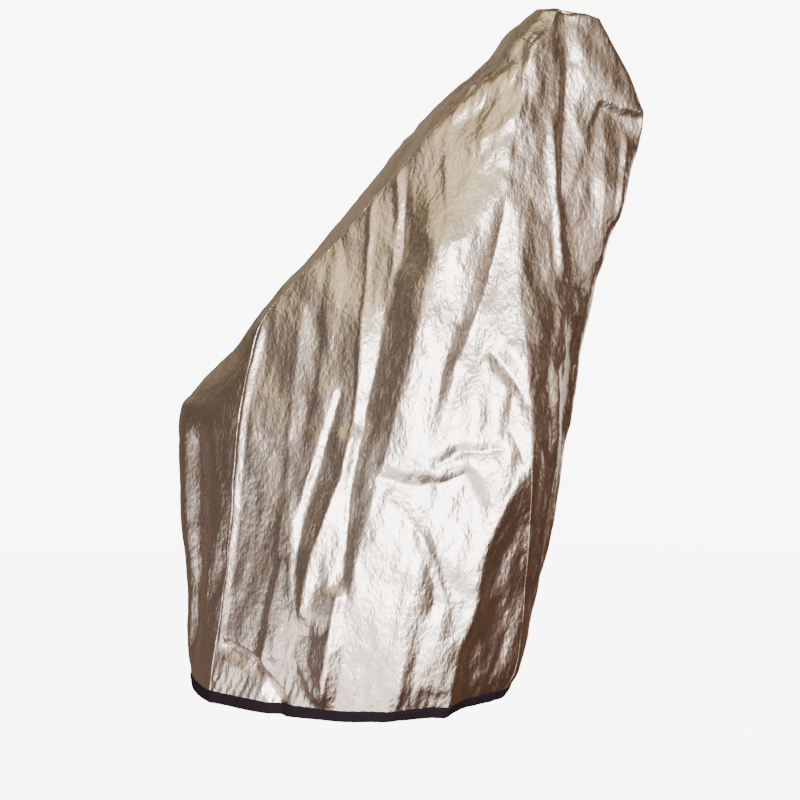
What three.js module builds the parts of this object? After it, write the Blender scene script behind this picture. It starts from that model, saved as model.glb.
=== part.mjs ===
// A fitted dust and rain cover for a small refracting telescope, as it hangs in use.
//
// Two side panels and one long gusset are sewn into a hollow bag of crinkled, silver-coated cloth.
// The gusset runs up the left end, along the sloping back of the tube, over the tube's end and
// down the right end. A black elastic binding closes the hem. The bag is empty and open below.
//
// Millimetres, +Z up. The tube under the cloth slopes up towards +X, and the front panel faces -Y.
// The tables measure heights from the hem at its left end. The finished cover is then moved so
// that the origin is the point inside its top where it is carried.
import * as THREE from "three";

// Driving dimensions.
const CLOTH = 2; // thickness of the coated cloth
const SEAM_GAP = 0.3; // space between two pieces that are sewn together
const BINDING_HEIGHT = 17;
const BINDING_THICKNESS = 5;
const BINDING_CHAMFER = 1.2;
const BINDING_LAP = 2; // extra thickness where the two ends of the binding lie over each other
const BINDING_LAP_WIDTH = 14;
const LID_RISE = 5; // the closing of the crown bulges this much above its last section
const LID_SCALES = [0.68, 0.36]; // sizes of the rings that close the crown
const SUPPORT = { x: 262, y: 0, z: 1072 }; // where the cover is carried, on the inside of its crown

// The sections of the bag, lowest first. Each is a closed curve in a plane that tilts with the
// tube: leftZ and rightZ are its heights at the left and the right end, and slopeY is how much it
// rises from front to back. left and right are where it ends along X, and rightBack is how far
// its right end lies behind the middle plane. The two front seams and the right end's front
// corner are given by X and by their distance in front of that plane. frontLeft, frontRight and
// back are how far the front and the back stand out from it.
const SECTION_COLUMNS = [
  "leftZ", "rightZ", "slopeY", "left", "right", "rightBack",
  "leftSeamX", "leftSeamY", "rightSeamX", "rightSeamY",
  "cornerX", "cornerY", "frontLeft", "frontRight", "back",
];
const SECTION_ROWS = [
  [12, 32, 0.15, -350, 172, 0, -292, 90, 181, 74, 184, 34, 155, 171, 165],
  [60, 62, 0.08, -358, 192, 0, -284, 96, 200, 78, 204, 40, 164, 181, 172],
  [150, 150, 0.02, -356, 215, 0, -268, 100, 214, 92, 226, 44, 168, 187, 172],
  [315, 315, 0, -369, 249, 0, -249, 100, 228, 126, 251, 62, 160, 185, 162],
  [425, 405, 0, -370, 261, 0, -240, 100, 233, 148, 263, 75, 150, 181, 157],
  [455, 430, 0, -365, 266, 0, -238, 94, 233, 147, 267, 72, 143, 178, 152],
  [475, 452, 0, -346, 270, 0, -234, 90, 231, 145, 270, 70, 139, 176, 150],
  [575, 565, 0, -248, 291, 0, -217, 70, 222, 136, 280, 66, 120, 164, 138],
  [730, 680, 0, -119, 319, 0, -83, 68, 204, 116, 287, 46, 104, 140, 122],
  [880, 795, 0, 7, 358, 8, 47, 66, 192, 106, 302, 36, 86, 104, 113],
  [945, 838, 0, 65, 367, 26, 106, 60, 202, 92, 301, 26, 74, 87, 108],
  [1010, 880, 0, 142, 376, 36, 172, 50, 212, 78, 301, 17, 60, 69, 100],
  [1048, 922, 0, 175, 382, 36, 200, 44, 227, 66, 308, 14, 52, 60, 90],
  [1064, 984, 0, 199, 357, 28, 219, 38, 243, 48, 297, 13, 44, 47, 72],
  [1078, 1066, 0, 218, 314, 10, 232, 28, 254, 32, 287, 12, 32, 31, 44],
];
const SECTIONS = SECTION_ROWS.map((row) => {
  return Object.fromEntries(SECTION_COLUMNS.map((name, i) => [name, row[i]]));
});

// Heights, at the left end, of the rows of the mesh: even up the bag, then closer at the crown.
const EVEN_ROWS = 29;
const EVEN_TOP = 1010;
const CROWN_ROWS = [1030, 1048, 1057, 1064, 1072, 1078];

// The points that shape a section, in order round it seen from above, and the number of mesh
// steps from each to the next. round is how far the cloth bends evenly at a point: 1 rounds it
// fully and 0 leaves a corner.
const POINTS = [
  { name: "left end", steps: 4, round: 0.85 },
  { name: "front left seam", steps: 10, round: 0.4 },
  { name: "front, first third", steps: 10, round: 0.9 },
  { name: "front, second third", steps: 10, round: 0.7 },
  { name: "front right seam", steps: 9, round: 0.35 },
  { name: "right end's front corner", steps: 6, round: 0.85 },
  { name: "right end", steps: 3, round: 0.85 },
  { name: "back right seam", steps: 3, round: 0.85 },
  { name: "back, right of the middle", steps: 3, round: 0.85 },
  { name: "back, left of the middle", steps: 3, round: 0.85 },
  { name: "back left seam", steps: 3, round: 0.85 },
];
const [, FRONT_LEFT, , , FRONT_RIGHT, , RIGHT, BACK_RIGHT, , , BACK_LEFT] = POINTS.keys();

// Where the back's points lie: a share of the section's width, and of its depth at the back.
const BACK_PLACES = [
  { across: 0.8, out: 0.78 },
  { across: 0.62, out: 1 },
  { across: 0.36, out: 0.97 },
  { across: 0.14, out: 0.62 },
];

// The folds. Each follows a path over one side of the bag. A positive depth presses the cloth in,
// a negative one raises it. wide gives its reach to the left and to the right of the path. A
// crisp fold has a sharp crease along its path, any other is rounded. taper is the share of its
// width and depth that a fold has at the end of its path. Paths are [x, z] on the front, the
// back and the shoulder, and [y, z] on the two ends.
const FOLDS = [
  // The ridge between the left half and the bright face, and the flank left of it, a wedge that
  // narrows downwards.
  { on: "front", deep: -11, wide: [60, 74], crisp: true,
    path: [[60, 850], [74, 760], [78, 700], [75, 630], [60, 555], [32, 450], [5, 345], [-20, 260],
      [-42, 150], [-58, -20]] },
  { on: "front", deep: 9, wide: [26, 54], crisp: true, taper: 0.2,
    path: [[25, 850], [26, 710], [4, 630], [-12, 510], [-35, 405], [-45, 295], [-48, 200]] },
  { on: "front", deep: 9, wide: [44, 34], crisp: true, taper: 0.6,
    path: [[-14, 470], [-30, 400], [-42, 330], [-48, 250], [-50, 180]] },
  { on: "front", deep: 3.5, wide: [9, 38], crisp: true,
    path: [[-56, 520], [-90, 400], [-124, 295], [-130, 230], [-124, 140]] },
  { on: "front", deep: -2.5, wide: [30, 9], crisp: true,
    path: [[-65, 512], [-99, 400], [-133, 295], [-139, 230], [-133, 150]] },
  { on: "front", deep: -14, wide: [40, 52], crisp: true,
    path: [[-38, 450], [-52, 365], [-72, 310], [-100, 240], [-112, 175], [-114, 115]] },
  { on: "front", deep: -3, wide: [8, 11], crisp: true,
    path: [[-30, 830], [-30, 690], [-30, 585], [-35, 480], [-45, 360]] },
  { on: "front", deep: -4, wide: [14, 14], crisp: true,
    path: [[8, 860], [18, 760], [14, 680], [-2, 600]] },
  // The short ridge above the middle of the hem.
  { on: "front", deep: -11, wide: [40, 16], crisp: true, taper: 1.6,
    path: [[-50, 196], [-60, 150], [-70, 80], [-86, -6]] },
  // Soft pleats over the left half, and two faint storage creases across it.
  { on: "front", deep: -2, wide: [14, 26], crisp: true,
    path: [[-132, 650], [-145, 475], [-152, 320], [-166, 220]] },
  { on: "front", deep: -2, wide: [14, 22], path: [[-85, 720], [-95, 560], [-100, 440]] },
  { on: "front", deep: -1.5, wide: [7, 9], crisp: true, path: [[-160, 610], [-95, 622], [-30, 626]] },
  { on: "front", deep: -1.5, wide: [7, 9], crisp: true, path: [[-206, 474], [-120, 484], [-46, 496]] },
  { on: "front", deep: -6, wide: [12, 60], crisp: true, taper: 1.5,
    path: [[-152, 236], [-166, 180], [-180, 120], [-190, 55]] },
  { on: "front", deep: -6, wide: [7, 10], crisp: true,
    path: [[-200, 625], [-224, 510], [-235, 410], [-243, 315], [-250, 255], [-261, 160],
      [-276, 60]] },
  // Over the bright face at the right.
  { on: "front", deep: 12, wide: [27, 60], crisp: true, taper: 0.5,
    path: [[190, 812], [174, 700], [158, 636], [134, 568], [118, 530], [104, 450]] },
  { on: "front", deep: 10, wide: [80, 23], crisp: true,
    path: [[-2, 366], [52, 352], [102, 356], [156, 378]] },
  { on: "front", deep: 6, wide: [28, 18], crisp: true, path: [[84, 376], [128, 404], [208, 408]] },
  { on: "front", deep: 8, wide: [20, 26], crisp: true, path: [[164, 566], [204, 520], [240, 462]] },
  { on: "front", deep: 6, wide: [20, 24], crisp: true, path: [[204, 500], [204, 440], [226, 378]] },
  { on: "front", deep: -14, wide: [60, 34], crisp: true,
    path: [[236, 405], [190, 320], [162, 260], [150, 200], [140, 150], [120, 95], [98, 0],
      [90, -50]] },
  { on: "front", deep: -3, wide: [12, 12], crisp: true, path: [[60, 300], [92, 232], [104, 170]] },
  // The tuck above the left end of the hem.
  { on: "front", deep: 12, wide: [22, 16], crisp: true,
    path: [[-280, 88], [-218, 66], [-182, 34], [-148, -16]] },
  // The crumpled shoulder under the tube's end.
  { on: "front", deep: -2, wide: [9, 12], crisp: true, path: [[88, 860], [100, 790], [112, 725]] },
  { on: "front", deep: -5, wide: [44, 40], crisp: true,
    path: [[66, 696], [135, 728], [160, 766], [214, 822]] },
  { on: "front", deep: -4, wide: [20, 20], path: [[85, 900], [140, 946], [212, 992]] },
  { on: "front", deep: -3, wide: [18, 18], crisp: true, path: [[110, 856], [175, 890], [238, 945]] },
  // The pleats that hang from the end of the tube.
  { on: "shoulder", deep: -4, wide: [8, 10], crisp: true, taper: 1.3,
    path: [[247, 925], [259, 780], [268, 655]] },
  { on: "shoulder", deep: 7, wide: [10, 34], crisp: true, path: [[272, 1020], [269, 905], [264, 765]] },
  { on: "shoulder", deep: -2.5, wide: [20, 26], crisp: true,
    path: [[322, 940], [326, 800], [320, 640]] },
  { on: "shoulder", deep: -4, wide: [7, 16], crisp: true, path: [[356, 900], [352, 800], [338, 690]] },
  { on: "shoulder", deep: 7, wide: [48, 15], path: [[312, 930], [350, 914], [402, 904]] },
  // The soft ridges over the end itself.
  { on: "shoulder", deep: -3, wide: [22, 20], path: [[262, 1055], [300, 1010], [345, 950]] },
  { on: "shoulder", deep: 5, wide: [22, 20], path: [[268, 1092], [264, 1050], [272, 985]] },
  { on: "right", deep: 9, wide: [24, 26], path: [[-60, 640], [-40, 430], [-30, 200], [-30, 40]] },
  { on: "right", deep: -6, wide: [16, 16], path: [[-95, 560], [-88, 380], [-75, 150]] },
  { on: "right", deep: 12, wide: [20, 24], path: [[45, 780], [50, 500], [62, 200], [60, 20]] },
  { on: "left", deep: 10, wide: [24, 24], path: [[-45, 440], [-50, 250], [-40, 20]] },
  { on: "left", deep: 10, wide: [24, 24], path: [[45, 450], [52, 240], [50, 20]] },
  { on: "back", deep: 18, wide: [20, 40], crisp: true, path: [[-60, 760], [-110, 430], [-150, 20]] },
  { on: "back", deep: -11, wide: [24, 30], path: [[10, 800], [-30, 420], [-60, 60]] },
  { on: "back", deep: 17, wide: [30, 18], crisp: true, path: [[120, 900], [70, 520], [40, 20]] },
  { on: "back", deep: 11, wide: [24, 24], path: [[200, 860], [165, 480], [120, 40]] },
  { on: "back", deep: 12, wide: [24, 30], path: [[-190, 560], [-235, 330], [-250, 40]] },
];
const FOLD_FADE = 0.14; // a fold runs out over this share of its path at each end

// The part of a section that each side of the bag takes, and how far its folds fade at its ends.
const SIDES = {
  front: { from: FRONT_LEFT, to: FRONT_RIGHT, fade: 0.25, across: "x" },
  shoulder: { from: FRONT_RIGHT, to: RIGHT, fade: 0.3, across: "x" },
  right: { from: FRONT_RIGHT, to: BACK_RIGHT, fade: 0.3, across: "y" },
  back: { from: BACK_RIGHT, to: BACK_LEFT, fade: 0.4, across: "x" },
  left: { from: BACK_LEFT, to: POINTS.length + FRONT_LEFT, fade: 0.4, across: "y" },
};

// The cloth is a little uneven everywhere: low waves, each given by its length across and up.
const WAVES = [
  { high: 0.9, across: 97, up: 240, start: 0.4 },
  { high: 0.5, across: 61, up: -310, start: 2.1 },
  { high: 0.3, across: -38, up: 120, start: 4.4 },
];

const TAUT_WAVES = 0.3; // the two ends are tauter and keep this share of the waves

const smooth = (t) => t * t * (3 - 2 * t);
const clamp = (t) => Math.min(1, Math.max(0, t));
const mix = (a, b, t) => a + (b - a) * t;

// A curve through rows of (key, value) that never swings past them.
function monotone(keys, values) {
  const last = keys.length - 1;
  const slopes = keys.slice(1).map((key, i) => (values[i + 1] - values[i]) / (key - keys[i]));
  const tangents = keys.map((_, i) => {
    if (i === 0 || i === last) {
      return slopes[Math.min(i, last - 1)];
    }
    const product = slopes[i - 1] * slopes[i];
    return product <= 0 ? 0 : (2 * product) / (slopes[i - 1] + slopes[i]);
  });
  return (key) => {
    let i = 0;
    while (i < last - 1 && key > keys[i + 1]) {
      i += 1;
    }
    const step = keys[i + 1] - keys[i];
    const t = clamp((key - keys[i]) / step);
    const bend = (tangents[i] * (1 - t) - tangents[i + 1] * t) * step * t * (1 - t);
    return mix(values[i], values[i + 1], smooth(t)) + bend;
  };
}

const SECTION_KEYS = SECTIONS.map((section) => section.leftZ);
const COLUMN_CURVES = SECTION_COLUMNS.map((name) => {
  return [name, monotone(SECTION_KEYS, SECTIONS.map((section) => section[name]))];
});

// The points of the section whose left end is at a height.
function sectionAt(height) {
  const s = Object.fromEntries(COLUMN_CURVES.map(([name, curve]) => [name, curve(height)]));
  const width = s.right - s.left;
  const places = [
    [s.left, 0],
    [s.leftSeamX, -s.leftSeamY],
    [mix(s.leftSeamX, s.rightSeamX, 1 / 3), -s.frontLeft],
    [mix(s.leftSeamX, s.rightSeamX, 2 / 3), -s.frontRight],
    [s.rightSeamX, -s.rightSeamY],
    [s.cornerX, -s.cornerY],
    [s.right, s.rightBack],
    ...BACK_PLACES.map((place) => [s.left + place.across * width, place.out * s.back]),
  ];
  return places.map(([x, y]) => {
    const z = mix(s.leftZ, s.rightZ, (x - s.left) / width) + s.slopeY * y;
    return new THREE.Vector3(x, y, z);
  });
}

// A point of a section, at k points round it; k may be a fraction.
function pointOn(section, k) {
  const near = Math.floor(k);
  const t = k - near;
  const wrapped = (offset) => (near + offset + section.length) % section.length;
  const at = (offset) => section[wrapped(offset)];
  const leaving = at(1).clone().sub(at(-1)).multiplyScalar(POINTS[wrapped(0)].round / 2);
  const arriving = at(2).clone().sub(at(0)).multiplyScalar(POINTS[wrapped(1)].round / 2);
  return at(0).clone().lerp(at(1), smooth(t))
    .addScaledVector(leaving, t * (1 - t) ** 2)
    .addScaledVector(arriving, -t * t * (1 - t));
}

// How much of a side's folds shows at k points round a section.
function sideShare(side, k) {
  const middle = (side.from + side.to) / 2;
  const turn = POINTS.length;
  const offset = Math.abs(((k - middle + turn * 1.5) % turn) - turn / 2);
  return smooth(clamp(((side.to - side.from) / 2 + side.fade - offset) / (2 * side.fade)));
}

// How deep one fold is at a point that lies at (a, z) on its side.
function foldDepth(fold, a, z) {
  const spans = fold.path.length - 1;
  let nearest = { distance: Infinity, along: 0, signed: 0 };
  for (let i = 0; i < spans; i += 1) {
    const [a0, z0] = fold.path[i];
    const [a1, z1] = fold.path[i + 1];
    const length = Math.hypot(a1 - a0, z1 - z0);
    const [da, dz] = [(a1 - a0) / length, (z1 - z0) / length];
    const t = clamp(((a - a0) * da + (z - z0) * dz) / length);
    const distance = Math.hypot(a - mix(a0, a1, t), z - mix(z0, z1, t));
    if (distance < nearest.distance) {
      const signed = (a - a0) * dz - (z - z0) * da;
      nearest = { distance, along: (i + t) / spans, signed };
    }
  }
  const size = mix(1, fold.taper ?? 1, nearest.along);
  const reach = (nearest.signed < 0 ? fold.wide[1] : fold.wide[0]) * size;
  const u = clamp(nearest.distance / reach);
  const shape = fold.crisp ? (1 - u) ** 1.3 : (1 - u * u) ** 2;
  const ends = smooth(clamp(Math.min(nearest.along, 1 - nearest.along) / FOLD_FADE));
  return fold.deep * size * shape * ends;
}

// How far the cloth is pressed in at a point of the bag.
function pressedIn(point, k) {
  let depth = 0;
  for (const fold of FOLDS) {
    const side = SIDES[fold.on];
    const share = sideShare(side, k);
    if (share > 0) {
      depth += share * foldDepth(fold, side.across === "x" ? point.x : point.y, point.z);
    }
  }
  const taut = sideShare(SIDES.left, k) + sideShare(SIDES.right, k);
  for (const wave of WAVES) {
    const phase = ((point.x + point.y) / wave.across + point.z / wave.up) * 2 * Math.PI;
    depth += mix(wave.high, wave.high * TAUT_WAVES, clamp(taut)) * Math.sin(phase + wave.start);
  }
  return depth;
}

// The mesh of the bag: rows of points from the hem up, then the rings that close the crown.
const around = POINTS.flatMap(({ steps }, k) => Array.from({ length: steps }, (_, s) => k + s / steps));
const columnOf = (k) => around.indexOf(k);
const hemHeight = SECTIONS[0].leftZ;
const evenRows = Array.from({ length: EVEN_ROWS }, (_, r) => mix(hemHeight, EVEN_TOP, r / (EVEN_ROWS - 1)));
const rows = [...evenRows, ...CROWN_ROWS];
const ringSize = around.length;

const smoothBag = rows.flatMap((height) => {
  const section = sectionAt(height);
  return around.map((k) => ({ k, point: pointOn(section, k) }));
});
const lastRing = smoothBag.slice(-ringSize);
const crownCentre = lastRing
  .reduce((sum, v) => sum.add(v.point), new THREE.Vector3())
  .divideScalar(ringSize);
for (const scale of LID_SCALES) {
  for (const { k, point } of lastRing) {
    const inner = crownCentre.clone().lerp(point, scale);
    inner.z += LID_RISE * (1 - scale * scale);
    smoothBag.push({ k, point: inner });
  }
}
const centreIndex = smoothBag.length;
smoothBag.push({ k: RIGHT, point: crownCentre.clone().setZ(crownCentre.z + LID_RISE) });

// The cells between the rows, each with its row and column, and the triangles at the centre.
const ringCount = rows.length + LID_SCALES.length;
const cells = [];
for (let row = 0; row < ringCount; row += 1) {
  for (let column = 0; column < ringSize; column += 1) {
    const next = (column + 1) % ringSize;
    const low = row * ringSize;
    const high = low + ringSize;
    const corners = row < ringCount - 1
      ? [low + column, low + next, high + next, high + column]
      : [low + column, low + next, centreIndex];
    cells.push({ row, column, corners });
  }
}

// Outward normals of a set of points that the cells join.
function outwardNormals(points) {
  const normals = points.map(() => new THREE.Vector3());
  for (const { corners } of cells) {
    const [a, b, c] = corners.map((i) => points[i]);
    const d = points[corners.at(-1)];
    const normal = c.clone().sub(a).cross(d.clone().sub(b));
    const flat = corners.length === 3 ? b.clone().sub(a).cross(c.clone().sub(a)) : normal;
    corners.forEach((i) => normals[i].add(flat));
  }
  return normals.map((normal) => normal.normalize());
}

const smoothNormals = outwardNormals(smoothBag.map((v) => v.point));
const bag = smoothBag.map(({ k, point }, i) => {
  const depth = pressedIn(point, k);
  return point.clone().addScaledVector(smoothNormals[i], -depth);
});
const bagNormals = outwardNormals(bag);

// One closed solid of a cloth piece: its cells thickened to both sides, with its edges drawn in
// by half a seam gap.
function clothPiece(name, belongs, finish) {
  const own = cells.filter(belongs);
  const edges = new Map();
  for (const { corners } of own) {
    corners.forEach((from, i) => {
      const to = corners[(i + 1) % corners.length];
      if (!edges.delete(`${to} ${from}`)) {
        edges.set(`${from} ${to}`, [from, to]);
      }
    });
  }
  const inward = new Map();
  for (const [from, to] of edges.values()) {
    const along = bag[to].clone().sub(bag[from]);
    for (const i of [from, to]) {
      const across = bagNormals[i].clone().cross(along).normalize();
      inward.set(i, [...(inward.get(i) ?? []), across]);
    }
  }
  const index = new Map();
  const positions = [];
  for (const i of new Set(own.flatMap((cell) => cell.corners))) {
    const middle = bag[i].clone();
    if (inward.has(i)) {
      const [first, second] = inward.get(i);
      const direction = first.clone().add(second).normalize();
      middle.addScaledVector(direction, SEAM_GAP / 2 / direction.dot(first));
    }
    index.set(i, positions.length / 3);
    for (const out of [CLOTH / 2, -CLOTH / 2]) {
      positions.push(...middle.clone().addScaledVector(bagNormals[i], out));
    }
  }
  const faces = [];
  for (const { corners } of own) {
    const outer = corners.map((i) => index.get(i));
    for (let i = 1; i < corners.length - 1; i += 1) {
      faces.push(outer[0], outer[i], outer[i + 1]);
      faces.push(outer[0] + 1, outer[i + 1] + 1, outer[i] + 1);
    }
  }
  // The wall along an edge is split the same way in both pieces that meet there.
  for (const [from, to] of edges.values()) {
    const [a, b] = [index.get(from), index.get(to)];
    const wall = from < to ? [a, a + 1, b, b, a + 1, b + 1] : [a, b + 1, b, a, a + 1, b + 1];
    faces.push(...wall);
  }
  return namedMesh(name, positions, faces, finish);
}

function namedMesh(name, positions, faces, finish) {
  const geometry = new THREE.BufferGeometry();
  geometry.setAttribute("position", new THREE.Float32BufferAttribute(positions, 3));
  geometry.setIndex(faces);
  geometry.translate(-SUPPORT.x, -SUPPORT.y, -SUPPORT.z);
  geometry.computeVertexNormals();
  const mesh = new THREE.Mesh(geometry, new THREE.MeshStandardMaterial(finish));
  mesh.name = name;
  return mesh;
}

// The binding: one closed ring under the edge of the cloth, thicker where its ends lap.
function bindingRing(name, finish) {
  const half = BINDING_THICKNESS / 2;
  const [top, bottom] = [SEAM_GAP, SEAM_GAP + BINDING_HEIGHT];
  const profile = [
    [half, top + BINDING_CHAMFER],
    [half - BINDING_CHAMFER, top],
    [-half + BINDING_CHAMFER, top],
    [-half, top + BINDING_CHAMFER],
    [-half, bottom - BINDING_CHAMFER],
    [-half + BINDING_CHAMFER, bottom],
    [half - BINDING_CHAMFER, bottom],
    [half, bottom - BINDING_CHAMFER],
  ];
  const lapPlace = bag[columnOf(FRONT_LEFT)].clone().lerp(bag[columnOf(FRONT_LEFT) + 1], 0.5);
  const positions = [];
  const faces = [];
  for (let column = 0; column < ringSize; column += 1) {
    const edge = bag[column];
    const down = edge.clone().sub(bag[column + ringSize]).normalize();
    const out = bagNormals[column].clone().projectOnPlane(down).normalize();
    const lap = BINDING_LAP * (1 - smooth(clamp(edge.distanceTo(lapPlace) / BINDING_LAP_WIDTH)));
    for (const [across, below] of profile) {
      const point = edge.clone().addScaledVector(out, across + (across > 0 ? lap : 0));
      positions.push(...point.addScaledVector(down, below));
    }
    const next = (column + 1) % ringSize;
    profile.forEach((_, i) => {
      const j = (i + 1) % profile.length;
      const [a, b] = [column * profile.length + i, column * profile.length + j];
      const [c, d] = [next * profile.length + j, next * profile.length + i];
      faces.push(a, d, b, b, d, c);
    });
  }
  return namedMesh(name, positions, faces, finish);
}

// The panels end below the crown, which belongs to the gusset.
const PANEL_TOP_ROW = rows.indexOf(CROWN_ROWS[1]);
const between = (cell, from, to) => cell.column >= columnOf(from) && cell.column < columnOf(to);
const inFront = (cell) => cell.row < PANEL_TOP_ROW && between(cell, FRONT_LEFT, FRONT_RIGHT);
const inBack = (cell) => cell.row < PANEL_TOP_ROW && between(cell, BACK_RIGHT, BACK_LEFT);

const silverCloth = { color: 0xb9ad9a, roughness: 0.45, metalness: 0.4, side: THREE.DoubleSide };
const cover = new THREE.Group();
cover.name = "telescope_cover";
cover.add(clothPiece("front_panel", inFront, silverCloth));
cover.add(clothPiece("back_panel", inBack, silverCloth));
cover.add(clothPiece("gusset", (cell) => !inFront(cell) && !inBack(cell), silverCloth));
cover.add(bindingRing("hem_binding", { color: 0x241a24, roughness: 0.8, metalness: 0 }));

export default cover;
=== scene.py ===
import math

import bpy
import numpy as np
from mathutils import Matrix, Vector


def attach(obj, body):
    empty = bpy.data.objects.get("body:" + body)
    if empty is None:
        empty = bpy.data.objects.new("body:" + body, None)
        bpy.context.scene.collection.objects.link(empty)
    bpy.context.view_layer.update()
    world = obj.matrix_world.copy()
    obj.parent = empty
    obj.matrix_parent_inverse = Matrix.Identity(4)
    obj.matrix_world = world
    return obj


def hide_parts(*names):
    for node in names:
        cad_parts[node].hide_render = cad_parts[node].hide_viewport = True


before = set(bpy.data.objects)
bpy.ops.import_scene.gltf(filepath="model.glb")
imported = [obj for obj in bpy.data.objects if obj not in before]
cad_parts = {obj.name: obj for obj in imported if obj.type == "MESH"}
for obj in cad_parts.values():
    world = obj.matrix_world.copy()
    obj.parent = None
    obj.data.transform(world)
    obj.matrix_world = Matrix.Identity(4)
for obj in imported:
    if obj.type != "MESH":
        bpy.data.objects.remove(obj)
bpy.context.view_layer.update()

MM = 0.001
SUPPORT = np.array([262.0, 0.0, 1072.0])
SEED = 7
TINY = 1e-9

# Camera: the photograph's angle, with the centre of the picture on this point.
VIEW_AZIMUTH = 12.0
VIEW_ELEVATION = 4.0
VIEW_DISTANCE = 3.2
VIEW_LENS = 90.0
VIEW_SENSOR = 36.0
VIEW_HEIGHT = 469.0
VIEW_POINT = (np.array([0.0, 0.0, VIEW_HEIGHT]) - SUPPORT) * MM

# The sections of the bag, lowest first. Each is a closed curve in a tilted plane: left_z and
# right_z are its heights at the left and the right end, and slope_y is how much it rises from
# front to back. left and right are where it ends along X, and right_back is how far its right
# end lies behind the middle plane. The two front seams and the right end's front corner are
# given by X and by their distance in front of that plane. front_left, front_right and back are
# how far the front and the back stand out from it.
SECTION_COLUMNS = [
    "left_z", "right_z", "slope_y", "left", "right",
    "right_back", "left_seam_x", "left_seam_y", "right_seam_x", "right_seam_y",
    "corner_x", "corner_y", "front_left", "front_right", "back",
]
SECTION_ROWS = [
    [12, 32, 0.15, -350, 172, 0, -292, 90, 181, 74, 184, 34, 155, 171, 165],
    [60, 62, 0.08, -358, 192, 0, -284, 96, 200, 78, 204, 40, 164, 181, 172],
    [150, 150, 0.02, -356, 215, 0, -268, 100, 214, 92, 226, 44, 168, 187, 172],
    [315, 315, 0, -369, 249, 0, -249, 100, 228, 126, 251, 62, 160, 185, 162],
    [425, 405, 0, -370, 261, 0, -240, 100, 233, 148, 263, 75, 150, 181, 157],
    [455, 430, 0, -365, 266, 0, -238, 94, 233, 147, 267, 72, 143, 178, 152],
    [475, 452, 0, -346, 270, 0, -234, 90, 231, 145, 270, 70, 139, 176, 150],
    [575, 565, 0, -248, 291, 0, -217, 70, 222, 136, 280, 66, 120, 164, 138],
    [730, 680, 0, -119, 319, 0, -83, 68, 204, 116, 287, 46, 104, 140, 122],
    [880, 795, 0, 7, 358, 8, 47, 66, 192, 106, 302, 36, 86, 104, 113],
    [945, 838, 0, 65, 367, 26, 106, 60, 202, 92, 301, 26, 74, 87, 108],
    [1010, 880, 0, 142, 376, 36, 172, 50, 212, 78, 301, 17, 60, 69, 100],
    [1048, 922, 0, 175, 382, 36, 200, 44, 227, 66, 308, 14, 52, 60, 90],
    [1064, 984, 0, 199, 357, 28, 219, 38, 243, 48, 297, 13, 44, 47, 72],
    [1078, 1066, 0, 218, 314, 10, 232, 28, 254, 32, 287, 12, 32, 31, 44],
]
LID_RISE = 5  # the closing of the crown bulges this much above its last section

# The points that shape a section, in order round it seen from above, with the number of mesh
# steps from each to the next, finer than in the object's source, and how far the cloth bends
# evenly there: 1 rounds it fully and 0 leaves a corner.
POINTS = [
    ("left end", 24, 0.85),
    ("front left seam", 56, 0.4),
    ("front, first third", 56, 0.9),
    ("front, second third", 56, 0.7),
    ("front right seam", 52, 0.35),
    ("right end's front corner", 34, 0.85),
    ("right end", 14, 0.85),
    ("back right seam", 20, 0.85),
    ("back, right of the middle", 20, 0.85),
    ("back, left of the middle", 20, 0.85),
    ("back left seam", 14, 0.85),
]
POINT_NAMES, POINT_STEPS, POINT_ROUNDS = zip(*POINTS)
FRONT_LEFT = POINT_NAMES.index("front left seam")
FRONT_RIGHT = POINT_NAMES.index("front right seam")
RIGHT = POINT_NAMES.index("right end")
BACK_RIGHT = POINT_NAMES.index("back right seam")
BACK_LEFT = POINT_NAMES.index("back left seam")

# Where the back's points lie: a share of the section's width, and of its depth at the back.
BACK_PLACES = [(0.8, 0.78), (0.62, 1), (0.36, 0.97), (0.14, 0.62)]

# Rows of the mesh: even up the bag, then closer up to the end of the panels, then closest in the
# crown, and the rings that close it.
EVEN_TOP = 1010
EVEN_ROWS = 262
PANEL_TOP = 1048
PANEL_STEP = 2.2
CROWN_STEP = 1.2
LID_RINGS = 14
LID_POINT = 0.004  # the last ring is this small a share of the first, not a point

# The part of a section that each side of the bag takes, how far its folds fade at its ends, and
# the axis that their paths run along.
SIDES = {
    "front": (FRONT_LEFT, FRONT_RIGHT, 0.25, "x"),
    "shoulder": (FRONT_RIGHT, RIGHT, 0.3, "x"),
    "right": (FRONT_RIGHT, BACK_RIGHT, 0.3, "y"),
    "back": (BACK_RIGHT, BACK_LEFT, 0.4, "x"),
    "left": (BACK_LEFT, len(POINTS) + FRONT_LEFT, 0.4, "y"),
}

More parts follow.
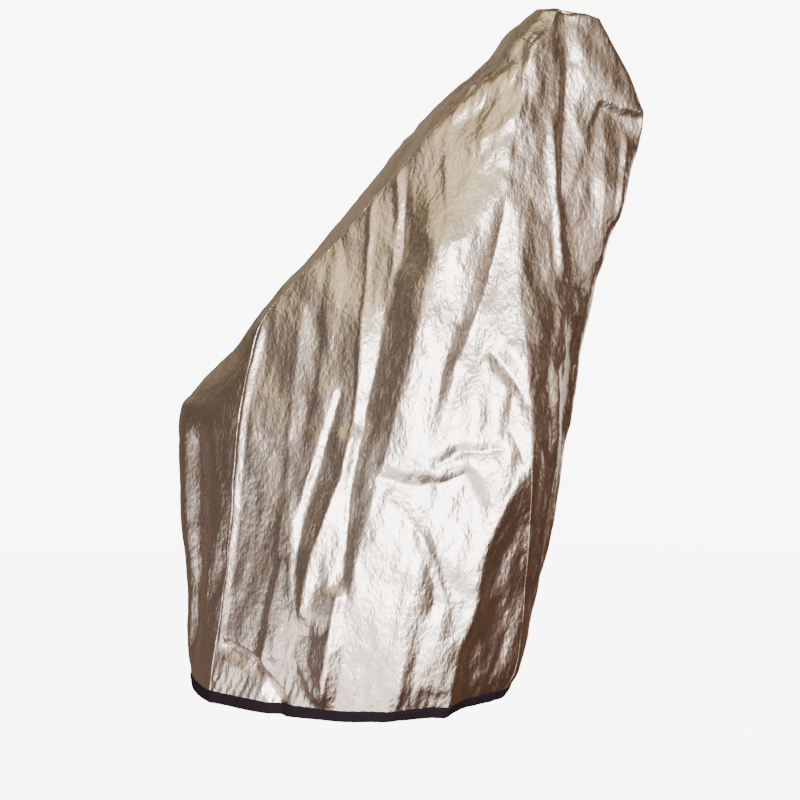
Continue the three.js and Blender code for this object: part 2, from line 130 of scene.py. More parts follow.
# The folds. Each follows a path over one side of the bag. Its row holds the side, the depth, the
# reach to the left and to the right of the path, whether it is crisp, its taper, and the path. A
# positive depth presses the cloth in, a negative one raises it. A crisp fold has a sharp crease
# along its path, any other is rounded. The taper is the share of its width and depth that a fold
# has at the end of its path. Paths are (x, z) on the front, the back and the shoulder, and (y, z)
# on the two ends.
FOLDS = [
    # The ridge between the left half and the bright face, and the flank left of it, a wedge that
    # narrows downwards.
    ("front", -11, (60, 74), True, 1, [
        (60, 850), (74, 760), (78, 700), (75, 630), (60, 555), (32, 450), (5, 345), (-20, 260),
        (-42, 150), (-58, -20),
    ]),
    ("front", 9, (26, 54), True, 0.2, [
        (25, 850), (26, 710), (4, 630), (-12, 510), (-35, 405), (-45, 295), (-48, 200),
    ]),
    ("front", 9, (44, 34), True, 0.6, [(-14, 470), (-30, 400), (-42, 330), (-48, 250), (-50, 180)]),
    ("front", 3.5, (9, 38), True, 1, [
        (-56, 520), (-90, 400), (-124, 295), (-130, 230), (-124, 140),
    ]),
    ("front", -2.5, (30, 9), True, 1, [
        (-65, 512), (-99, 400), (-133, 295), (-139, 230), (-133, 150),
    ]),
    ("front", -14, (40, 52), True, 1, [
        (-38, 450), (-52, 365), (-72, 310), (-100, 240), (-112, 175), (-114, 115),
    ]),
    ("front", -3, (8, 11), True, 1, [(-30, 830), (-30, 690), (-30, 585), (-35, 480), (-45, 360)]),
    ("front", -4, (14, 14), True, 1, [(8, 860), (18, 760), (14, 680), (-2, 600)]),
    # The short ridge above the middle of the hem.
    ("front", -11, (40, 16), True, 1.6, [(-50, 196), (-60, 150), (-70, 80), (-86, -6)]),
    # Soft pleats over the left half, and two faint storage creases across it.
    ("front", -2, (14, 26), True, 1, [(-132, 650), (-145, 475), (-152, 320), (-166, 220)]),
    ("front", -2, (14, 22), False, 1, [(-85, 720), (-95, 560), (-100, 440)]),
    ("front", -1.5, (7, 9), True, 1, [(-160, 610), (-95, 622), (-30, 626)]),
    ("front", -1.5, (7, 9), True, 1, [(-206, 474), (-120, 484), (-46, 496)]),
    ("front", -6, (12, 60), True, 1.5, [(-152, 236), (-166, 180), (-180, 120), (-190, 55)]),
    ("front", -6, (7, 10), True, 1, [
        (-200, 625), (-224, 510), (-235, 410), (-243, 315), (-250, 255), (-261, 160), (-276, 60),
    ]),
    # Over the bright face at the right.
    ("front", 12, (27, 60), True, 0.5, [
        (190, 812), (174, 700), (158, 636), (134, 568), (118, 530), (104, 450),
    ]),
    ("front", 10, (80, 23), True, 1, [(-2, 366), (52, 352), (102, 356), (156, 378)]),
    ("front", 6, (28, 18), True, 1, [(84, 376), (128, 404), (208, 408)]),
    ("front", 8, (20, 26), True, 1, [(164, 566), (204, 520), (240, 462)]),
    ("front", 6, (20, 24), True, 1, [(204, 500), (204, 440), (226, 378)]),
    ("front", -14, (60, 34), True, 1, [
        (236, 405), (190, 320), (162, 260), (150, 200), (140, 150), (120, 95), (98, 0), (90, -50),
    ]),
    ("front", -3, (12, 12), True, 1, [(60, 300), (92, 232), (104, 170)]),
    # The tuck above the left end of the hem.
    ("front", 12, (22, 16), True, 1, [(-280, 88), (-218, 66), (-182, 34), (-148, -16)]),
    # The crumpled shoulder under the raised end.
    ("front", -2, (9, 12), True, 1, [(88, 860), (100, 790), (112, 725)]),
    ("front", -5, (44, 40), True, 1, [(66, 696), (135, 728), (160, 766), (214, 822)]),
    ("front", -4, (20, 20), False, 1, [(85, 900), (140, 946), (212, 992)]),
    ("front", -3, (18, 18), True, 1, [(110, 856), (175, 890), (238, 945)]),
    # The pleats that hang from the raised end.
    ("shoulder", -4, (8, 10), True, 1.3, [(247, 925), (259, 780), (268, 655)]),
    ("shoulder", 7, (10, 34), True, 1, [(272, 1020), (269, 905), (264, 765)]),
    ("shoulder", -2.5, (20, 26), True, 1, [(322, 940), (326, 800), (320, 640)]),
    ("shoulder", -4, (7, 16), True, 1, [(356, 900), (352, 800), (338, 690)]),
    ("shoulder", 7, (48, 15), False, 1, [(312, 930), (350, 914), (402, 904)]),
    # The soft ridges over the raised end itself.
    ("shoulder", -3, (22, 20), False, 1, [(262, 1055), (300, 1010), (345, 950)]),
    ("shoulder", 5, (22, 20), False, 1, [(268, 1092), (264, 1050), (272, 985)]),
    # Plain hanging folds round the two ends and the back.
    ("right", 9, (24, 26), False, 1, [(-60, 640), (-40, 430), (-30, 200), (-30, 40)]),
    ("right", -6, (16, 16), False, 1, [(-95, 560), (-88, 380), (-75, 150)]),
    ("right", 12, (20, 24), False, 1, [(45, 780), (50, 500), (62, 200), (60, 20)]),
    ("left", 10, (24, 24), False, 1, [(-45, 440), (-50, 250), (-40, 20)]),
    ("left", 10, (24, 24), False, 1, [(45, 450), (52, 240), (50, 20)]),
    ("back", 18, (20, 40), True, 1, [(-60, 760), (-110, 430), (-150, 20)]),
    ("back", -11, (24, 30), False, 1, [(10, 800), (-30, 420), (-60, 60)]),
    ("back", 17, (30, 18), True, 1, [(120, 900), (70, 520), (40, 20)]),
    ("back", 11, (24, 24), False, 1, [(200, 860), (165, 480), (120, 40)]),
    ("back", 12, (24, 30), False, 1, [(-190, 560), (-235, 330), (-250, 40)]),
]
FOLD_FADE = 0.14  # a fold runs out over this share of its path at each end
CREASE_POWER = 1.3  # a crisp fold's flanks steepen by this power towards its crease

# The cloth is a little uneven everywhere: low waves, each given by its height, its lengths across
# and up, and where it starts. The two ends are tauter and keep a share of them.
WAVES = [(0.9, 97, 240, 0.4), (0.5, 61, -310, 2.1), (0.3, -38, 120, 4.4)]
TAUT_WAVES = 0.3

# Crumple: layers of flat facets with creases between them. Each has the size of its facets,
# how far their corners rise and sink, how much longer than wide they are, and the turn of
# their grid.
CRUMPLES = [
    (72, 3.6, 1.8, 0.3),
    (37, 2.1, 1.6, 1.1),
    (19, 1.1, 1.6, 2.0),
    (10, 0.42, 1.8, 2.7),
]
CRUMPLE_SEEDS = 10  # from one layer's first seed to the next one's
WARP_SIZE = 3.0  # noise of this many facets bends the creases
WARP = 0.45

# Where the cloth is more crumpled, or tauter: x, z, how far that reaches, and how much more.
CRUMPLE_PLACES = [
    (150, 920, 75, 1.3),
    (-140, 60, 70, 0.8),
    (320, 1010, 62, -0.7),
]

# Gathers above the binding, which wander a little from their even spacing.
GATHER_SPACING = 15
GATHER_HEIGHT = 1.3
GATHER_REACH = 26
GATHER_WANDER = 0.6
GATHER_WANDER_SIZE = 60
GATHER_SEED = SEED + 99
HEM_SHARE = 0.4  # the binding holds the edge to this share of its unevenness

CLOTH = 1.2  # thickness of the drawn cloth

# The binding, as in the object's source but rounded, and rising over the edge of the cloth. Its
# top and bottom are given by how far they lie below that edge.
BINDING_TOP = -3.75
BINDING_BOTTOM = 15.75
BINDING_THICKNESS = 5
BINDING_POINTS = 16
BINDING_SQUARENESS = 0.45  # 1 is an ellipse, and towards 0 its sides get flat
BINDING_SLOPE_ROWS = 8  # it continues the slope of this many rows of cloth above it
BINDING_RIPPLE = 0.25
BINDING_LAP = 2  # extra thickness where its two ends lie over each other
BINDING_LAP_WIDTH = 14
LAP_STEPS = 4  # mesh steps from the front left seam to the lap

STAGE_FLOOR = -1.75
STAGE_RADIUS = 8.0
STAGE_CURVE = 1.5
STAGE_HEIGHT = 8.0
STAGE_STEPS = 12
STAGE_SIDES = 96
STAGE_COLOUR = (0.9, 0.9, 0.9)
STAGE_GLOW = 9.0

# The room: brightest round the key light and dimmest at its sides, warm above and brown below.
# The levels and tints go from the far side of the room to the bright one, and from below to above.
BRIGHT_SIDE = (6, 12)
ROOM_LEVELS = [
    (0.0, (0.10, 0.088, 0.078)),
    (0.30, (0.12, 0.106, 0.095)),
    (0.42, (0.062, 0.055, 0.050)),
    (0.52, (0.046, 0.041, 0.038)),
    (0.64, (0.085, 0.078, 0.076)),
    (0.76, (0.18, 0.172, 0.175)),
    (0.88, (0.42, 0.415, 0.43)),
    (1.0, (0.9, 0.9, 0.94)),
]
ROOM_TINTS = [
    (0.0, (0.70, 0.34, 0.16)),
    (0.42, (1.0, 0.72, 0.56)),
    (0.50, (1.0, 0.79, 0.66)),
    (0.66, (1.0, 0.82, 0.62)),
    (1.0, (1.0, 0.80, 0.50)),
]
ROOM_STRENGTH = 1.6

# The low right side of the room is darker and browner.
BROWN_SIDE = (100, -25)
BROWN_TINTS = [
    (0.0, (1.0, 1.0, 1.0)),
    (0.72, (1.0, 1.0, 1.0)),
    (0.86, (0.78, 0.60, 0.46)),
    (1.0, (0.72, 0.52, 0.38)),
]

# The soft lights: azimuth, elevation and distance from the middle of the view, width and height,
# power, and colour.
LIGHTS = [
    ("key_light", 9, 0, 3.8, (3.1, 2.5), 280, (1.0, 0.985, 0.985)),
    ("top_light", -34, 52, 3.2, (3.0, 2.4), 22, (1.0, 0.79, 0.46)),
    ("end_light", 60, 46, 3.2, (3.2, 1.6), 5, (1.0, 0.74, 0.48)),
    ("side_light", 66, 1, 3.2, (1.9, 0.8), 3.6, (1.0, 0.80, 0.62)),
    ("pleat_light", 44, 20, 3.2, (0.9, 0.9), 2.2, (1.0, 0.88, 0.80)),
    ("left_light", -57, -20, 3.2, (1.8, 1.2), 3.4, (1.0, 0.90, 0.88)),
    ("low_light", -20, -38, 3.2, (5.2, 2.0), 78, (1.0, 0.92, 0.85)),
    ("rear_light", -130, 34, 3.4, (3.6, 2.0), 4.6, (1.0, 0.82, 0.60)),
    ("back_light", 165, 6, 3.6, (5.0, 2.2), 48, (1.0, 0.93, 0.86)),
]


def smooth(t):
    return t * t * (3 - 2 * t)


def clamp(t):
    return np.clip(t, 0.0, 1.0)


def mix(a, b, t):
    return a + (b - a) * t


def monotone(keys, values):
    """A curve through (key, value) pairs that never swings past them."""
    keys = np.asarray(keys, float)
    values = np.asarray(values, float)
    slopes = np.diff(values) / np.diff(keys)
    tangents = np.zeros(len(keys))
    tangents[0] = slopes[0]
    tangents[-1] = slopes[-1]
    for i in range(1, len(keys) - 1):
        product = slopes[i - 1] * slopes[i]
        if product > 0:
            tangents[i] = 2 * product / (slopes[i - 1] + slopes[i])

    def curve(key):
        i = np.clip(np.searchsorted(keys, key) - 1, 0, len(keys) - 2)
        step = keys[i + 1] - keys[i]
        t = clamp((key - keys[i]) / step)
        bend = (tangents[i] * (1 - t) - tangents[i + 1] * t) * step * t * (1 - t)
        return mix(values[i], values[i + 1], smooth(t)) + bend

    return curve


SECTION_KEYS = [row[0] for row in SECTION_ROWS]
COLUMN_CURVES = {
    name: monotone(SECTION_KEYS, [row[i] for row in SECTION_ROWS])
    for i, name in enumerate(SECTION_COLUMNS)
}


def section_at(levels):
    """The shaping points of the sections at some heights: an array [height, point, xyz]."""
    column = {name: curve(levels) for name, curve in COLUMN_CURVES.items()}
    left = column["left"]
    width = column["right"] - left
    seam = column["left_seam_x"]
    third = (column["right_seam_x"] - seam) / 3
    places = [
        (left, 0 * width),
        (seam, -column["left_seam_y"]),
        (seam + third, -column["front_left"]),
        (seam + 2 * third, -column["front_right"]),
        (column["right_seam_x"], -column["right_seam_y"]),
        (column["corner_x"], -column["corner_y"]),
        (column["right"], column["right_back"]),
    ]
    places += [(left + across * width, out * column["back"]) for across, out in BACK_PLACES]
    points = []
    for x, y in places:
        z = mix(column["left_z"], column["right_z"], (x - left) / width) + column["slope_y"] * y
        points.append(np.stack([x, y, z], axis=-1))
    return np.stack(points, axis=1)


def points_on(sections, around):
    """Points of sections at the places around them: an array [height, place, xyz]."""
    count = sections.shape[1]
    near = np.floor(around).astype(int)
    t = (around - near)[None, :, None]

    def at(offset):
        return sections[:, (near + offset) % count]

    rounds = np.array(POINT_ROUNDS)[:, None]
    leaving = (at(1) - at(-1)) * rounds[near % count] / 2
    arriving = (at(2) - at(0)) * rounds[(near + 1) % count] / 2
    base = mix(at(0), at(1), smooth(t))
    return base + leaving * t * (1 - t) ** 2 - arriving * t * t * (1 - t)


def bag_grid(levels, around):
    """The unfolded bag: a row of points for each height, then the rings that close the crown."""
    rows = points_on(section_at(levels), around)
    centre = rows[-1].mean(axis=0)
    rings = [rows]
    for scale in np.linspace(1, 0, LID_RINGS + 1)[1:]:
        ring = mix(centre, rows[-1], max(scale, LID_POINT))
        ring[:, 2] += LID_RISE * (1 - scale * scale)
        rings.append(ring[None])
    return np.concatenate(rings)


def side_share(side, around):
    """How much of a side's folds shows at the places around a section."""
    start, end, fade, _ = SIDES[side]
    turn = len(POINTS)
    middle = (start + end) / 2
    offset = np.abs((around - middle + turn * 1.5) % turn - turn / 2)
    return smooth(clamp(((end - start) / 2 + fade - offset) / (2 * fade)))


def fold_depth(fold, a, z):
    """How deep one fold is at the points (a, z) of its side."""
    _, deep, (left, right), crisp, taper, path = fold
    distance = np.full(a.shape, np.inf)
    along = np.zeros(a.shape)
    signed = np.zeros(a.shape)
    spans = len(path) - 1
    for i in range(spans):
        (a0, z0), (a1, z1) = path[i], path[i + 1]
        length = math.hypot(a1 - a0, z1 - z0)
        da, dz = (a1 - a0) / length, (z1 - z0) / length
        t = clamp(((a - a0) * da + (z - z0) * dz) / length)
        d = np.hypot(a - mix(a0, a1, t), z - mix(z0, z1, t))
        nearer = d < distance
        distance = np.where(nearer, d, distance)
        along = np.where(nearer, (i + t) / spans, along)
        signed = np.where(nearer, (a - a0) * dz - (z - z0) * da, signed)
    size = mix(1, taper, along)
    reach = np.where(signed < 0, right, left) * size
    u = clamp(distance / reach)
    shape = (1 - u) ** CREASE_POWER if crisp else (1 - u * u) ** 2
    ends = smooth(clamp(np.minimum(along, 1 - along) / FOLD_FADE))
    return deep * size * shape * ends


def pressed_in(points, around):
    """How far the cloth is pressed in at the points of the bag."""
    depth = np.zeros(points.shape[:-1])
    shares = {side: side_share(side, around) for side in SIDES}
    for fold in FOLDS:
        side = fold[0]
        share = shares[side]
        columns = np.nonzero(share > 0)[0]
        axis = 0 if SIDES[side][3] == "x" else 1
        part = points[:, columns]
        depth[:, columns] += share[columns] * fold_depth(fold, part[..., axis], part[..., 2])
    slack = mix(1.0, TAUT_WAVES, clamp(shares["left"] + shares["right"]))
    for high, across, up, start in WAVES:
        phase = ((points[..., 0] + points[..., 1]) / across + points[..., 2] / up) * 2 * np.pi
        depth += slack * high * np.sin(phase + start)
    return depth


def outward_normals(points):
    """Normals of the bag's grid. Its last ring is nearly a point and looks straight up."""
    across = np.roll(points, -1, axis=1) - np.roll(points, 1, axis=1)
    up = np.empty_like(points)
    up[1:-1] = points[2:] - points[:-2]
    up[0] = points[1] - points[0]
    up[-1] = points[-1] - points[-2]
    normals = np.cross(across, up)
    normals /= np.maximum(np.linalg.norm(normals, axis=-1, keepdims=True), TINY)
    normals[-1] = (0, 0, 1)
    return normals


# Odd factors that scatter the corners of a grid over all numbers, and what is kept of those.
SCATTER_X = 73856093
SCATTER_Y = 19349663
SCATTER_Z = 83492791
SCATTER_SEED = 2654435761
SCATTER_AGAIN = 1274126177
LOW_31_BITS = 0x7FFFFFFF
LOW_16_BITS = 0xFFFF


def corner_value(cell, seed):
    """A fixed random number from -1 to 1 for each corner of a grid."""
    x, y, z = np.moveaxis(cell, -1, 0)
    mixed = (x * SCATTER_X) ^ (y * SCATTER_Y) ^ (z * SCATTER_Z) ^ (seed * SCATTER_SEED)
    mixed = (mixed ^ (mixed >> 13)) * SCATTER_AGAIN & LOW_31_BITS
    return ((mixed ^ (mixed >> 16)) & LOW_16_BITS) / (LOW_16_BITS / 2) - 1


def lattice_noise(points, size, seed):
    """Smooth noise from -1 to 1 in space, with features of about this size."""
    scaled = points / size
    cell = np.floor(scaled).astype(np.int64)
    inside = smooth(scaled - cell)
    total = np.zeros(points.shape[:-1])
    for corner in range(8):
        step = np.array([corner & 1, (corner >> 1) & 1, corner >> 2])
        weight = np.prod(np.where(step == 1, inside, 1 - inside), axis=-1)
        total += corner_value(cell + step, seed) * weight
    return total


def facet_noise(points, size, turn, seed):
    """Flat facets of random slope, from -1 to 1 at their corners."""
    c, s = math.cos(turn), math.sin(turn)
    spin = np.array([[c, -s, 0], [s * c, c * c, -s], [s * s, c * s, c]])
    scaled = points @ spin.T / size
    bend = [lattice_noise(scaled, WARP_SIZE, seed + i) for i in (1, 2, 3)]
    scaled = scaled + WARP * WARP_SIZE * np.stack(bend, axis=-1)
    cell = np.floor(scaled).astype(np.int64)
    inside = scaled - cell
    order = np.argsort(-inside, axis=-1)
    ranked = np.take_along_axis(inside, order, axis=-1)
    total = corner_value(cell, seed) * (1 - ranked[..., 0])
    for i in range(3):
        step = np.zeros_like(cell)
        np.put_along_axis(step, order[..., i:i + 1], 1, axis=-1)
        cell = cell + step
        weight = ranked[..., i] - (ranked[..., i + 1] if i < 2 else 0)
        total += corner_value(cell, seed) * weight
    return total


def crumple(points):
    """Relief of all layers of facets."""
    relief = np.zeros(points.shape[:-1])
    for i, (size, high, longer, turn) in enumerate(CRUMPLES):
        relief += high * facet_noise(points * (1, 1, 1 / longer), size, turn, SEED + CRUMPLE_SEEDS * i)
    for x, z, reach, more in CRUMPLE_PLACES:
        away = np.hypot(points[..., 0] - x, points[..., 2] - z) / reach
        relief *= 1 + more * np.exp(-away * away)
    return relief


def zigzag(t):
    """Straight flanks between sharp crests and valleys, from -1 to 1."""
    return 4 * np.abs(t - np.floor(t) - 0.5) - 1


def gathers_round(points, middle):
    """Gathers from -1 to 1, spaced along the rows of the bag from its middle column."""
    steps = np.linalg.norm(np.roll(points, -1, axis=1) - points, axis=-1)
    run = np.cumsum(steps, axis=1) - steps
    run = run - run[:, middle][:, None]
    wander = GATHER_WANDER * lattice_noise(points, GATHER_WANDER_SIZE, GATHER_SEED)
    return zigzag(run / GATHER_SPACING + wander)


# The bag, first without folds, then folded, then crumpled and gathered.
around = np.concatenate([k + np.arange(steps) / steps for k, steps in enumerate(POINT_STEPS)])
first_column = np.concatenate([[0], np.cumsum(POINT_STEPS)])
even = np.linspace(SECTION_KEYS[0], EVEN_TOP, EVEN_ROWS)
upper = np.arange(EVEN_TOP + PANEL_STEP, PANEL_TOP, PANEL_STEP)
crown = np.arange(PANEL_TOP, SECTION_KEYS[-1], CROWN_STEP)
heights = np.concatenate([even, upper, crown, SECTION_KEYS[-1:]])
lid_start = len(heights)

smooth_bag = bag_grid(heights, around)
smooth_normals = outward_normals(smooth_bag)
folded = smooth_bag - smooth_normals * pressed_in(smooth_bag, around)[..., None]

gathers = gathers_round(folded, (first_column[FRONT_LEFT] + first_column[FRONT_RIGHT]) // 2)
above_hem = (folded[..., 2] - folded[:1, :, 2]) / GATHER_REACH
relief = crumple(folded) + GATHER_HEIGHT * np.exp(-above_hem) * gathers
relief *= mix(HEM_SHARE, 1.0, smooth(clamp(above_hem)))
relief[lid_start:] *= np.linspace(1, 0, len(relief) - lid_start)[:, None]
bag = folded + outward_normals(folded) * relief[..., None]
bag_normals = outward_normals(bag)


def new_mesh(name, vertices, faces, material):
    """A smooth-shaded object, its vertices in metres."""
    mesh = bpy.data.meshes.new(name)
    mesh.from_pydata(vertices, [], faces)
    mesh.materials.append(material)
    mesh.validate()
    mesh.polygons.foreach_set("use_smooth", [True] * len(mesh.polygons))
    obj = bpy.data.objects.new(name, mesh)
    bpy.context.scene.collection.objects.link(obj)
    return obj


def in_frame(points):
    """Points of the tables' millimetres in the shared frame, in metres."""
    return ((points - SUPPORT) * MM).tolist()


def cloth_piece(name, belongs, material):
    """The cells of one piece, thickened to both sides."""
    columns = bag.shape[1]
    row, column = np.nonzero(belongs)
    after = (column + 1) % columns
    low_start, high_start = row * columns, (row + 1) * columns
    corners = [low_start + column, low_start + after, high_start + after, high_start + column]
    corners = np.stack(corners, axis=1)
    used, outer = np.unique(corners, return_inverse=True)
    outer = outer.reshape(corners.shape)
    count = len(used)
    inner = outer[:, ::-1] + count
    middle = bag.reshape(-1, 3)[used]
    half = bag_normals.reshape(-1, 3)[used] * CLOTH / 2
    vertices = np.concatenate([middle + half, middle - half])
    edges = np.concatenate([outer[:, [i, (i + 1) % 4]] for i in range(4)])
    forward = edges[:, 0] * count + edges[:, 1]
    backward = edges[:, 1] * count + edges[:, 0]
    rim = edges[~np.isin(forward, backward)]
    walls = np.stack([rim[:, 1], rim[:, 0], rim[:, 0] + count, rim[:, 1] + count], axis=1)
    faces = np.concatenate([outer, inner, walls])
    return new_mesh(name, in_frame(vertices), faces.tolist(), material)


def squared_off(share):
    """A sine or cosine pushed outwards, which gives a round section flat sides."""
    return math.copysign(abs(share) ** BINDING_SQUARENESS, share)


def binding_ring(name, edge, material):
    """The elastic binding round the hem, gathered a little, thicker where its two ends lap."""
    down = smooth_bag[0] - smooth_bag[BINDING_SLOPE_ROWS]
    down /= np.linalg.norm(down, axis=-1, keepdims=True)
    out = smooth_normals[0] - down * np.sum(smooth_normals[0] * down, axis=-1, keepdims=True)
    out /= np.linalg.norm(out, axis=-1, keepdims=True)
    from_lap = np.linalg.norm(edge - edge[first_column[FRONT_LEFT] + LAP_STEPS], axis=-1)
    lap = BINDING_LAP * (1 - smooth(clamp(from_lap / BINDING_LAP_WIDTH)))
    ripple = BINDING_RIPPLE * gathers[0]
    middle = (BINDING_TOP + BINDING_BOTTOM) / 2
    rings = []
    for i in range(BINDING_POINTS):
        turn = 2 * math.pi * i / BINDING_POINTS
        across = BINDING_THICKNESS / 2 * squared_off(math.cos(turn))
        below = middle + (BINDING_BOTTOM - BINDING_TOP) / 2 * squared_off(math.sin(turn))
        reach = across + (lap if across > 0 else 0) + ripple
        rings.append(edge + out * reach[:, None] + down * below)
    vertices = np.stack(rings, axis=1).reshape(-1, 3)
    column, point = np.meshgrid(np.arange(len(edge)), np.arange(BINDING_POINTS), indexing="ij")
    own = column * BINDING_POINTS
    after = (column + 1) % len(edge) * BINDING_POINTS
    above = (point + 1) % BINDING_POINTS
    faces = np.stack([own + point, after + point, after + above, own + above], axis=-1)
    return new_mesh(name, in_frame(vertices), faces.reshape(-1, 4).tolist(), material)


def new_material(name, values):
    """A material whose main shader has these values."""
    material = bpy.data.materials.new(name)
    material.use_nodes = True
    shader = material.node_tree.nodes["Principled BSDF"]
    for socket, value in values.items():
        shader.inputs[socket].default_value = value
    return material


def add_node(tree, kind, values, inputs):
    """A node of a tree, with values on some of its inputs and links to others."""
    node = tree.nodes.new(kind)
    for socket, value in values.items():
        node.inputs[socket].default_value = value
    for socket, source in inputs.items():
        tree.links.new(source, node.inputs[socket])
    return node


def silver_cloth():
    """Metallised film with a fine crinkle and a net of fine creases."""
    material = new_material("silver_cloth_look", {
        "Metallic": 1.0,
        "Roughness": 0.31,
        "Base Color": (0.78, 0.72, 0.66, 1),
    })
    tree = material.node_tree
    place = add_node(tree, "ShaderNodeTexCoord", {}, {})
    stretch = add_node(
        tree, "ShaderNodeMapping",
        {"Scale": (1.0, 1.0, 0.62)},
        {"Vector": place.outputs["Object"]},
    )
    crinkle = add_node(
        tree, "ShaderNodeTexNoise",
        {"Scale": 150, "Detail": 2, "Roughness": 0.55},
        {"Vector": stretch.outputs["Vector"]},
    )
    net = add_node(
        tree, "ShaderNodeTexVoronoi",
        {"Scale": 120},
        {"Vector": stretch.outputs["Vector"]},
    )
    net.feature = "DISTANCE_TO_EDGE"
    bump = add_node(
        tree, "ShaderNodeBump",
        {"Strength": 0.34, "Distance": 0.003},
        {"Height": crinkle.outputs["Fac"]},
    )
    creases = add_node(
        tree, "ShaderNodeBump",
        {"Strength": 0.26, "Distance": 0.003},
        {"Height": net.outputs["Distance"], "Normal": bump.outputs["Normal"]},
    )
    shader = tree.nodes["Principled BSDF"]
    tree.links.new(creases.outputs["Normal"], shader.inputs["Normal"])
    return material


def black_binding():
    """Matt black elastic with a purple tint and a fine weave."""
    material = new_material("black_binding_look", {
        "Roughness": 0.85,
        "Base Color": (0.010, 0.006, 0.010, 1),
        "Specular IOR Level": 0.12,
    })
    tree = material.node_tree
    place = add_node(tree, "ShaderNodeTexCoord", {}, {})
    weave = add_node(
        tree, "ShaderNodeTexNoise",
        {"Scale": 420},
        {"Vector": place.outputs["Object"]},
    )
    bump = add_node(
        tree, "ShaderNodeBump",
        {"Strength": 0.6, "Distance": 0.001},
        {"Height": weave.outputs["Fac"]},
    )
    shader = tree.nodes["Principled BSDF"]
    tree.links.new(bump.outputs["Normal"], shader.inputs["Normal"])
    return material


# The pieces of the cover. The panels end below the crown, which belongs to the gusset.
silver = silver_cloth()
black = black_binding()

rows, columns = bag.shape[:2]
cell_row = np.arange(rows - 1)[:, None]
cell_column = np.arange(columns)[None, :]
low = cell_row < np.searchsorted(heights, PANEL_TOP)
in_front = (
    low & (cell_column >= first_column[FRONT_LEFT]) & (cell_column < first_column[FRONT_RIGHT])
)
in_back = (
    low & (cell_column >= first_column[BACK_RIGHT]) & (cell_column < first_column[BACK_LEFT])
)

front_cloth = cloth_piece("front_cloth", in_front, silver)
back_cloth = cloth_piece("back_cloth", in_back, silver)
gusset_cloth = cloth_piece("gusset_cloth", ~(in_front | in_back), silver)
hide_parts("front_panel")
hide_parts("back_panel")
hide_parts("gusset")
for piece in (front_cloth, back_cloth, gusset_cloth):
    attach(piece, "root")

binding = binding_ring("binding_ring", folded[0], black)
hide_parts("hem_binding")
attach(binding, "root")


def round_stage(name, material):
    """A pale round floor that curves up into a wall all round."""
    profile = []
    for i in range(STAGE_STEPS + 1):
        turn = math.pi / 2 * i / STAGE_STEPS
        radius = STAGE_RADIUS - STAGE_CURVE * (1 - math.sin(turn))
        profile.append((radius, STAGE_FLOOR + STAGE_CURVE * (1 - math.cos(turn))))
    profile.append((STAGE_RADIUS, STAGE_FLOOR + STAGE_HEIGHT))
    vertices = []
    for radius, height in profile:
        for k in range(STAGE_SIDES):
            turn = 2 * math.pi * k / STAGE_SIDES
            vertices.append((radius * math.cos(turn), radius * math.sin(turn), height))
    faces = [tuple(range(STAGE_SIDES))]
    for i in range(len(profile) - 1):
        for k in range(STAGE_SIDES):
            inner, outer = i * STAGE_SIDES, (i + 1) * STAGE_SIDES
            beyond = (k + 1) % STAGE_SIDES
            faces.append((inner + k, inner + beyond, outer + beyond, outer + k))
    return new_mesh(name, vertices, faces, material)


# The stage is seen by the camera alone, so the cloth mirrors the lights and the room.
stage_white = new_material("studio_white", {
    "Base Color": (*STAGE_COLOUR, 1),
    "Roughness": 0.9,
    "Emission Color": (*STAGE_COLOUR, 1),
    "Emission Strength": STAGE_GLOW,
})
studio = round_stage("studio_sweep", stage_white)
studio.visible_glossy = False
studio.visible_diffuse = False


def toward(azimuth, elevation):
    """The direction to a side of the room. Azimuth 0 is in front of the cover."""
    a, e = math.radians(azimuth), math.radians(elevation)
    return Vector((math.sin(a) * math.cos(e), -math.cos(a) * math.cos(e), math.sin(e)))


def stand_at(obj, azimuth, elevation, distance):
    """Places a light or the camera so that it looks at the middle of the view."""
    away = toward(azimuth, elevation)
    obj.location = Vector(VIEW_POINT) + away * distance
    obj.rotation_mode = "QUATERNION"
    obj.rotation_quaternion = away.to_track_quat("Z", "Y")
    bpy.context.scene.collection.objects.link(obj)


def facing(tree, direction, side):
    """How far a direction points to a side of the room, from -1 to 1."""
    dot = add_node(tree, "ShaderNodeVectorMath", {1: toward(*side)}, {0: direction})
    dot.operation = "DOT_PRODUCT"
    return dot.outputs["Value"]


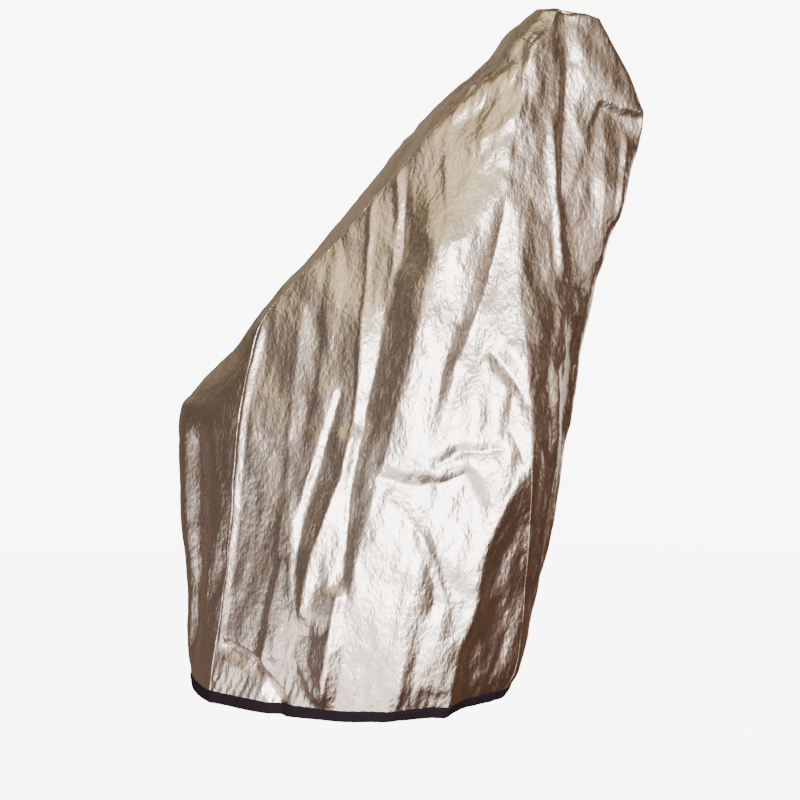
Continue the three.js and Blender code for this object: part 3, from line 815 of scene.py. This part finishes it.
def colour_at(tree, value, stops):
    """The colour that stops from 0 to 1 give to a value from -1 to 1."""
    remap = add_node(tree, "ShaderNodeMapRange", {"From Min": -1.0}, {"Value": value})
    ramp = add_node(tree, "ShaderNodeValToRGB", {}, {"Fac": remap.outputs["Result"]})
    elements = ramp.color_ramp.elements
    for i, (at, colour) in enumerate(stops):
        stop = elements[i] if i < 2 else elements.new(at)
        stop.position = at
        stop.color = (*colour, 1)
    return ramp.outputs["Color"]


# The sockets of a mix node that take and give colours.
MIX_FIRST = 6
MIX_SECOND = 7
MIX_RESULT = 2


def multiplied(tree, first, second):
    """The product of two colours."""
    product = tree.nodes.new("ShaderNodeMix")
    product.data_type = "RGBA"
    product.blend_type = "MULTIPLY"
    product.inputs["Factor"].default_value = 1.0
    tree.links.new(first, product.inputs[MIX_FIRST])
    tree.links.new(second, product.inputs[MIX_SECOND])
    return product.outputs[MIX_RESULT]


def soft_room(name):
    """The dim room round the cover."""
    world = bpy.data.worlds.new(name)
    world.use_nodes = True
    tree = world.node_tree
    direction = tree.nodes.new("ShaderNodeTexCoord").outputs["Generated"]
    parts = add_node(tree, "ShaderNodeSeparateXYZ", {}, {"Vector": direction})
    level = colour_at(tree, facing(tree, direction, BRIGHT_SIDE), ROOM_LEVELS)
    tint = colour_at(tree, parts.outputs["Z"], ROOM_TINTS)
    brown = colour_at(tree, facing(tree, direction, BROWN_SIDE), BROWN_TINTS)
    background = tree.nodes["Background"]
    colour = multiplied(tree, multiplied(tree, level, tint), brown)
    tree.links.new(colour, background.inputs["Color"])
    background.inputs["Strength"].default_value = ROOM_STRENGTH
    return world


def soft_light(name, azimuth, elevation, distance, size, power, colour):
    """A rectangular light that looks at the middle of the view."""
    light = bpy.data.lights.new(name, "AREA")
    light.shape = "RECTANGLE"
    light.size, light.size_y = size
    light.energy = power
    light.color = colour
    stand_at(bpy.data.objects.new(name, light), azimuth, elevation, distance)


bpy.context.scene.world = soft_room("studio_world")
for row in LIGHTS:
    soft_light(*row)

camera_data = bpy.data.cameras.new("camera")
camera_data.lens = VIEW_LENS
camera_data.sensor_width = VIEW_SENSOR
camera = bpy.data.objects.new("camera", camera_data)
stand_at(camera, VIEW_AZIMUTH, VIEW_ELEVATION, VIEW_DISTANCE)
bpy.context.scene.camera = camera
